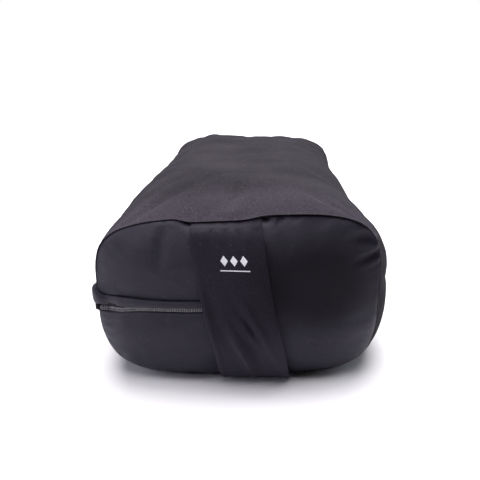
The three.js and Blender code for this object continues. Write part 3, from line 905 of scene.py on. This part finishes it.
# The slot that the zip lies in. Straight lines are cut along its edges, and the cloth between is pressed in
SLOT_BELOW = 4.2
SLOT_ABOVE = 6.2
SLOT_DEPTH = 3.4
SLOT_WALL = 0.7
SLOT_CUTS = (-SLOT_BELOW - 2.6, -SLOT_BELOW - 1.1, -SLOT_BELOW, -SLOT_BELOW + SLOT_WALL,
             SLOT_ABOVE - SLOT_WALL, SLOT_ABOVE, SLOT_ABOVE + 1.6, SLOT_ABOVE + 3.6)
ROLLED_EDGE = 0.5
CREASE_DEPTH = 1.7


def cut_zip_slot(piece, from_x, to_y):
    for up in SLOT_CUTS:
        height = ZIP_HEIGHT + up
        middles = read_vectors(piece.data.polygons, "center") / MM
        faces = read_vectors(piece.data.polygons, "normal")
        select_faces(piece, (middles[:, 0] < from_x) & (np.abs(middles[:, 2] - height) < 10) & (
            np.abs(faces[:, 2]) < 0.7))
        bpy.ops.mesh.bisect(plane_co=(0, 0, height * MM), plane_no=(0, 0, 1), threshold=0.0001)
        to_object_mode()
    points = coordinates(piece.data)
    facing = read_vectors(piece.data.vertices, "normal")
    outward = facing * (1, 1, 0)
    outward /= np.maximum(np.linalg.norm(outward, axis=1, keepdims=True), 1e-6)
    x, y, up = points[:, 0], points[:, 1], points[:, 2] - ZIP_HEIGHT
    fade = smooth((from_x - x) / 6) * smooth((to_y - y) / 3) * (np.abs(facing[:, 2]) < 0.7)
    press = np.select(
        [(up > -SLOT_BELOW + 0.5 * SLOT_WALL) & (up < SLOT_ABOVE - 0.5 * SLOT_WALL),
         (up > -SLOT_BELOW - 2) & (up < -SLOT_BELOW - 0.5),
         (up > SLOT_ABOVE + 1) & (up < SLOT_ABOVE + 2.4)],
        [SLOT_DEPTH, -ROLLED_EDGE, CREASE_DEPTH], 0)
    set_coordinates(piece.data, points - outward * (press * fade)[:, None])


# The handle, a row for each height down the end panel. Out is measured from the seam to the strap's
# middle, and lean is how much further out the right edge stands than the left
HANDLE_WIDTH = 70
HANDLE_THICKNESS = 2.2
HANDLE_CLEAR = 2.0
HANDLE_ACROSS = 40
HANDLE_DOWN = 120
HandleRow = namedtuple("HandleRow", "height out centre lean")
HANDLE = [
    HandleRow(167.4, -2.8, -9, 0),
    HandleRow(165.4, 0.6, -9, 0),
    HandleRow(161, 8.6, -8.7, 0),
    HandleRow(154.5, 15.8, -7.8, 0.3),
    HandleRow(148, 19.8, -6.8, 1.2),
    HandleRow(132, 26.4, -4.5, 4),
    HandleRow(112, 31.6, -1.6, 5.5),
    HandleRow(88, 35.3, 2.5, 4.5),
    HandleRow(62, 37, 8, 3.5),
    HandleRow(38, 35, 13.5, 2.5),
    HandleRow(18, 29, 16.5, 1),
    HandleRow(7, 21.5, 18.5, 0),
    HandleRow(2.2, 13, 19.5, 0),
    HandleRow(1.6, 3, 20, 0),
]
HANDLE_FINE = 600
TOP_FOLLOWS = 158
HANDLE_UNDER_LIP = 0.5

# Slack in the handle: soft folds, placed across it from -1 to 1 and by height. Slant is how far a fold
# moves across for each millimetre up
HandleFold = namedtuple("HandleFold", "across height width slant length lift")
HANDLE_FOLDS = [
    HandleFold(-0.21, 42, 0.13, -0.0065, 24, 5.6),
    HandleFold(0.06, 45, 0.12, -0.0080, 20, -2.6),
    HandleFold(0.25, 66, 0.14, -0.0105, 14, -5.2),
    HandleFold(0.52, 55, 0.15, -0.0092, 32, 5.6),
    HandleFold(-0.60, 58, 0.15, -0.0050, 26, -1.8),
    HandleFold(-0.92, 48, 0.07, 0.0000, 42, 1.5),
    HandleFold(-0.70, 92, 0.20, -0.0050, 16, -1.4),
    HandleFold(-0.05, 112, 0.50, -0.004, 24, -1.2),
    HandleFold(-0.66, 156, 0.12, 0.004, 9, 1.0),
    HandleFold(-0.42, 158, 0.07, 0.002, 8, -1.4),
    HandleFold(-0.22, 155, 0.10, 0.000, 10, 1.2),
    HandleFold(-0.02, 159, 0.06, 0.000, 8, -1.4),
    HandleFold(0.14, 152, 0.09, -0.003, 12, 1.8),
    HandleFold(0.31, 158, 0.07, 0.000, 9, -1.6),
    HandleFold(0.58, 154, 0.14, 0.004, 11, 1.4),
    HandleFold(0.82, 158, 0.08, 0.000, 8, -1.0),
]
HEM_ROLL = 0.9
HEM_SHARE = 0.1


def handle_route(down):
    """Centre, out, height and lean of the handle at shares of its length, and that length."""
    rows = np.array([(r.centre, r.out, r.height, r.lean) for r in HANDLE])
    knots = np.concatenate([[0], np.cumsum(np.sqrt(np.linalg.norm(np.diff(rows[:, :3], axis=0), axis=1)))])
    fine = spline(knots, rows, np.linspace(0, knots[-1], HANDLE_FINE))
    run = distances(fine[:, :3])
    return np.stack([np.interp(down * run[-1], run, column) for column in fine.T], axis=1), run[-1]


def handle_slack(across, height):
    total = np.zeros_like(across)
    for f in HANDLE_FOLDS:
        side = across - f.across - f.slant * (height - f.height)
        total += f.lift * bell(side / f.width) * bell((height - f.height) / f.length)
    return total


def handle_place(across, down):
    centre, out, height, lean = handle_route(down)[0].T
    x = centre + 0.5 * HANDLE_WIDTH * across
    free = out + 0.5 * lean * across + handle_slack(across, height)
    free = free - HEM_ROLL * smooth((np.abs(across) - 1 + HEM_SHARE) / HEM_SHARE)
    seam = outline_at(0, INSET_ABOVE)
    seam_top = GIRTH_HEIGHT + seam.above + seam.tilt * x - handle_pull(x, seam.above)
    top_share = np.maximum(0, height - TOP_FOLLOWS) / (HANDLE[0].height - TOP_FOLLOWS)
    z = height + (seam_top - HANDLE_UNDER_LIP - HANDLE[0].height) * top_share
    clear = dome_out(NEAR, x, np.minimum(z, seam_top)) + HANDLE_CLEAR
    near_panel = smooth((HANDLE[0].height - 3 - height) / 6) * smooth((z - GIRTH_HEIGHT + 20) / 40)
    out = free + np.maximum(0, clear - free) * near_panel
    return np.stack([x, -LENGTH / 2 - out, z], axis=1)


def handle():
    length = handle_route(np.zeros(1))[1]
    piece = cloth_grid("handle_strap", HANDLE_ACROSS, HANDLE_DOWN, handle_place, (HANDLE_WIDTH, length))
    thicken(piece, HANDLE_THICKNESS, 0)
    subdivide(piece)
    return piece, length


# The zip's level line: across the near panel, round the left corner and along the whole side. The corner's
# rows are how far beyond the seam's left-hand end and how far out from it
ZIP_HEIGHT = 84
ZIP_START = -20
ZIP_CORNER_START = -118
ZIP_CORNER = [(-12, 3.6), (-3, 2.4), (1.9, -2), (2.6, -10)]
ZIP_CORNER_END = 30
ZIP_END = LENGTH - 5
ZIP_FINE = 4000
BAND_ROWS = 360
TAPE_DEPTH = 2.5
TAPE_THICKNESS = 0.8
TAPE_WIDTH = 10.5
FLAP_THICKNESS = 0.9
TOOTH_PITCH = 2.4
TOOTH_SIZE = (1.1, 1.9, 2.1)
# Each row's shift along the zip, as a share of the pitch, and its height
TOOTH_ROWS = [(0, 0.2), (0.15, -2.2)]
TOOTH_BEHIND = 0.9
TOOTH_BEVEL = 0.4
ZIP_END_MARGIN = 2


def side_point(along):
    outline = outline_at(along)
    share = abs(ZIP_HEIGHT - GIRTH_HEIGHT) / outline.below
    x = -outline.left * (1 - share ** outline.below_left) ** (1 / outline.below_left)
    return x, along - LENGTH / 2


def zip_points():
    on_panel = [(x, -LENGTH / 2 - float(dome_out(NEAR, np.array(x), ZIP_HEIGHT)))
                for x in np.arange(ZIP_START, ZIP_CORNER_START - 1, -2.0)]
    seam_x, seam_y = side_point(0)
    corner = [(seam_x - beyond, seam_y - out) for beyond, out in ZIP_CORNER]
    on_side = [side_point(along) for along in np.arange(ZIP_CORNER_END, ZIP_END + 1, 5.0)]
    knots = np.array(on_panel + corner + on_side)
    steps = np.sqrt(np.linalg.norm(np.diff(knots, axis=0), axis=1))
    run = np.concatenate([[0], np.cumsum(steps)])
    return spline(run, knots, np.linspace(0, run[-1], ZIP_FINE))


# Before the corner the zip sags below its level line, and the cloth beside it with it. The flap's crease
# takes no part in a low sag, so the flap stands taller there
Sag = namedtuple("Sag", "depth middle spread_left spread_right low")
SAGS = [
    Sag(1.4, -80, 45, 50, False),
    Sag(2.6, -146, 30, 24, False),
    Sag(6.6, -131, 40, 29, True),
]
LOW_SAG_TOP = 8
SAG_HEIGHT = 30
SAG_BEHIND = (-300, 90)


def sag_at(sag, x):
    return sag.depth * bell((x - sag.middle) / np.where(x < sag.middle, sag.spread_left, sag.spread_right))


def let_sag(piece):
    points = coordinates(piece.data)
    x, y, z = points.T
    near = smooth((SAG_BEHIND[0] + SAG_BEHIND[1] - y) / SAG_BEHIND[1])
    low = smooth((ZIP_HEIGHT + LOW_SAG_TOP - z) / LOW_SAG_TOP)
    sunk = sum(sag_at(sag, x) * (low if sag.low else 1) for sag in SAGS)
    points[:, 2] -= sunk * near * bell((z - ZIP_HEIGHT) / SAG_HEIGHT)
    set_coordinates(piece.data, points)


ZIP_POINTS = zip_points()
ZIP_RUN = distances(ZIP_POINTS)
ZIP_LENGTH = ZIP_RUN[-1]
CORNER_RUN = float(np.interp(0, ZIP_POINTS[:, 1] + LENGTH / 2, ZIP_RUN))


def zip_place(distance, out, up):
    """A point beside the zip's line: how far along it, out of the cover's face and up from it."""
    at, ahead, behind = (np.stack([np.interp(distance + step, ZIP_RUN, ZIP_POINTS[:, k]) for k in (0, 1)])
                         for step in (0, 2, -2))
    forward = (ahead - behind) / np.linalg.norm(ahead - behind, axis=0)
    return np.stack([at[0] - forward[1] * out, at[1] + forward[0] * out, ZIP_HEIGHT + up], axis=-1)


def zip_band(name, profile, thickness, columns, swell=None):
    """A band of cloth swept along the zip's line. Its profile has rows of out and up."""
    profile = np.array(profile, float)
    run = distances(profile)

    def place(across, down):
        out, up = spline(run, profile, (across + 1) / 2 * run[-1]).T
        distance = down * ZIP_LENGTH
        if swell:
            out, up = swell(distance, out, up)
        return zip_place(distance, out, up)

    piece = cloth_grid(name, columns, BAND_ROWS, place, (run[-1], ZIP_LENGTH))
    thicken(piece, thickness, 0)
    return piece, run[-1]


# The flap's profile, folded under at the bottom: sewn in at the crease, over the front, round and back up
FLAP_PROFILE = [(-1.6, 8.1), (0.7, 7.9), (2.5, 6.8), (3.1, 5.0), (3.0, 2.9), (2.2, 1.9), (1.4, 2.5),
                (1.0, 4.2), (0.8, 6.2)]
# It bulges and stands taller just round the corner, is lifted a little before it, ripples, and dives in at
# its far end
FLAP_BULGE = 0.6
FLAP_BULGE_BEYOND = 5
FLAP_BULGE_BEFORE = 7
FLAP_BULGE_AFTER = 24
FLAP_TALLER = 8
FLAP_LIFTED = 2.4
FLAP_LIFTED_BEFORE = 19
FLAP_RIPPLES = [(23, 0.16), (57, 0.22), (131, 0.3)]
FLAP_TUCK = 18


def swell_flap(distance, out, up):
    beyond = distance - CORNER_RUN - FLAP_BULGE_BEYOND
    corner = bell(beyond / np.where(beyond < 0, FLAP_BULGE_BEFORE, FLAP_BULGE_AFTER))
    lifted = FLAP_LIFTED * bell((distance - CORNER_RUN + FLAP_LIFTED_BEFORE) / FLAP_LIFTED_BEFORE)
    ripple = sum(lift * np.sin(distance * 2 * np.pi / length + length) for length, lift in FLAP_RIPPLES)
    raised = smooth((out - 0.9) / 2)
    top = smooth((up - 1.5) / 6)
    taller = corner * FLAP_TALLER * top + lifted * (1 - top)
    out = out + raised * (corner * FLAP_BULGE + ripple * 0.6)
    root = FLAP_PROFILE[0][0]
    return root + (out - root) * smooth((ZIP_LENGTH - distance) / FLAP_TUCK), up + 0.35 * ripple + taller


def flap():
    return zip_band("zip_cover_flap", FLAP_PROFILE, FLAP_THICKNESS, 24, swell_flap)


def tapes():
    lower = [(-TAPE_DEPTH, -TAPE_WIDTH - 0.2), (-TAPE_DEPTH, -0.2)]
    upper = [(-TAPE_DEPTH, 0.2), (-TAPE_DEPTH, TAPE_WIDTH + 0.2)]
    return [zip_band(name, profile, TAPE_THICKNESS, 4)
            for name, profile in (("tape_lower", lower), ("tape_upper", upper))]


def tooth():
    """One rounded loop of the nylon coil."""
    to_object_mode()
    bpy.ops.mesh.primitive_cube_add(size=1)
    piece = bpy.context.object
    piece.scale = [size * MM for size in TOOTH_SIZE]
    bpy.ops.object.transform_apply(location=False, rotation=False, scale=True)
    bevel = piece.modifiers.new("Bevel", "BEVEL")
    bevel.width = TOOTH_BEVEL * MM
    bevel.segments = 2
    apply_modifiers(piece)
    return piece


def zip_teeth():
    """Both rows of the closed coil, the upper and lower loops a little apart along it."""
    model = tooth()
    base = coordinates(model.data)
    faces = [list(face.vertices) for face in model.data.polygons]
    bpy.data.objects.remove(model)
    count = int((ZIP_LENGTH - 2 * ZIP_END_MARGIN) / TOOTH_PITCH)
    points, all_faces = [], []
    for shift, up in TOOTH_ROWS:
        for i in range(count):
            first = len(points) * len(base)
            distance = ZIP_END_MARGIN + (i + shift) * TOOTH_PITCH + base[:, 0]
            points.append(zip_place(distance, base[:, 1] - TOOTH_BEHIND, base[:, 2] + up))
            all_faces += [[first + k for k in face] for face in faces]
    mesh = bpy.data.meshes.new("zip_teeth")
    mesh.from_pydata((np.concatenate(points) * MM).tolist(), [], all_faces)
    piece = bpy.data.objects.new("zip_teeth", mesh)
    bpy.context.collection.objects.link(piece)
    select_faces(piece, np.ones(len(mesh.polygons), bool))
    bpy.ops.mesh.normals_make_consistent(inside=False)
    to_object_mode()
    return piece


# The photograph's camera
PHOTO_SIZE = 480
CAMERA_AZIMUTH = 2.94
CAMERA_ELEVATION = 17.81
CAMERA_ROLL = -1.22
CAMERA_DISTANCE = 0.5384
CAMERA_TARGET = (0.0039, -0.325, 0.1358)
FOCAL_PIXELS = 540.3
CENTRE_BELOW_MIDDLE = 10
SENSOR_WIDTH = 36

# The studio's soft lights: direction towards the light, strength, colour, and softness in degrees
Light = namedtuple("Light", "name towards strength color softness")
LIGHTS = [
    Light("left_light", (-1, -0.15, 0.25), 2.4, (0.86, 0.84, 1.0), 60),
    Light("right_light", (1, 0.6, 0.2), 1.8, (0.84, 0.87, 1.0), 50),
    Light("top_light", (0, 0, 1), 2.5, (1.0, 0.97, 1.0), 60),
    Light("back_light", (0, 0.55, 0.85), 5.3, (1.0, 0.97, 1.0), 60),
]
SURROUND = 0.02


def camera():
    azimuth, elevation, roll = (math.radians(a) for a in (CAMERA_AZIMUTH, CAMERA_ELEVATION, CAMERA_ROLL))
    back = Vector((math.sin(azimuth) * math.cos(elevation), -math.cos(azimuth) * math.cos(elevation),
                   math.sin(elevation)))
    right = (-back).cross(Vector((0, 0, 1))).normalized()
    up = right.cross(-back)
    turned_right = right * math.cos(roll) + up * math.sin(roll)
    turned_up = -right * math.sin(roll) + up * math.cos(roll)
    lens = bpy.data.cameras.new("photo_camera")
    lens.sensor_width = SENSOR_WIDTH
    lens.lens = FOCAL_PIXELS / PHOTO_SIZE * SENSOR_WIDTH
    lens.shift_y = CENTRE_BELOW_MIDDLE / PHOTO_SIZE
    place = bpy.data.objects.new("photo_camera", lens)
    axes = Matrix((turned_right, turned_up, back)).transposed().to_4x4()
    place.matrix_world = Matrix.Translation(Vector(CAMERA_TARGET) + back * CAMERA_DISTANCE) @ axes
    bpy.context.collection.objects.link(place)
    bpy.context.scene.camera = place


def sun(soft_light):
    light = bpy.data.lights.new(soft_light.name, "SUN")
    light.energy = soft_light.strength
    light.color = soft_light.color
    light.angle = math.radians(soft_light.softness)
    lamp = bpy.data.objects.new(soft_light.name, light)
    lamp.rotation_euler = Vector(soft_light.towards).to_track_quat("Z", "Y").to_euler()
    bpy.context.collection.objects.link(lamp)


def surroundings():
    """Soft light from all round, and plain white behind the object."""
    world = bpy.data.worlds.new("studio")
    bpy.context.scene.world = world
    world.use_nodes = True
    nodes, links = world.node_tree.nodes, world.node_tree.links
    backdrop = nodes["Background"]
    backdrop.inputs["Color"].default_value = (1, 1, 1, 1)
    seen = nodes.new("ShaderNodeLightPath")
    strength = nodes.new("ShaderNodeMapRange")
    strength.inputs["To Min"].default_value = SURROUND
    strength.inputs["To Max"].default_value = 1.0
    links.new(seen.outputs["Is Camera Ray"], strength.inputs["Value"])
    links.new(strength.outputs["Result"], backdrop.inputs["Strength"])


def studio():
    to_object_mode()
    bpy.ops.mesh.primitive_plane_add(size=60, location=(0, 0, -0.0006))
    floor = bpy.context.object
    floor.name = "studio_floor"
    floor.data.materials.append(floor_finish())
    surroundings()
    for soft_light in LIGHTS:
        sun(soft_light)
    bpy.context.scene.view_settings.view_transform = "Standard"


camera()
studio()

form = filled_form()
blow_up(form)
cover_main = cover(form)
near_panel = end_panel(form, "near_panel", NEAR, 0, NEAR_SEAM - 1, 5)
far_panel = end_panel(form, "far_panel", FAR, FAR_SEAM + 1, LAST_RING + 1, 6)
bpy.data.objects.remove(form)
handle_strap, handle_length = handle()
zip_flap, flap_width = flap()
(tape_lower, tape_width), (tape_upper, _) = tapes()
teeth = zip_teeth()
for piece in (cover_main, near_panel, zip_flap, tape_lower, tape_upper, teeth):
    let_sag(piece)

panel_finish = cotton(PANEL)
tape_weave = tape_finish()
for piece, finish, slot, node_name in (
    (cover_main, cotton(COVER), "cover_cloth", "cushion"),
    (near_panel, panel_finish, "panel_cloth", "near_end_panel"),
    (far_panel, panel_finish, "panel_cloth", "far_end_panel"),
    (handle_strap, handle_finish(), "handle_cloth", "handle"),
    (zip_flap, panel_finish, "panel_cloth", "zip_flap"),
    (tape_lower, tape_weave, "zip_tape", "zip_tape_lower"),
    (tape_upper, tape_weave, "zip_tape", "zip_tape_upper"),
    (teeth, nylon_finish(), "zip_teeth", "zip_coil"),
):
    piece.data.materials.clear()
    piece.data.materials.append(finish)
    use(piece)
    bpy.ops.object.shade_smooth()
    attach(piece, "root")
    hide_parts(node_name)
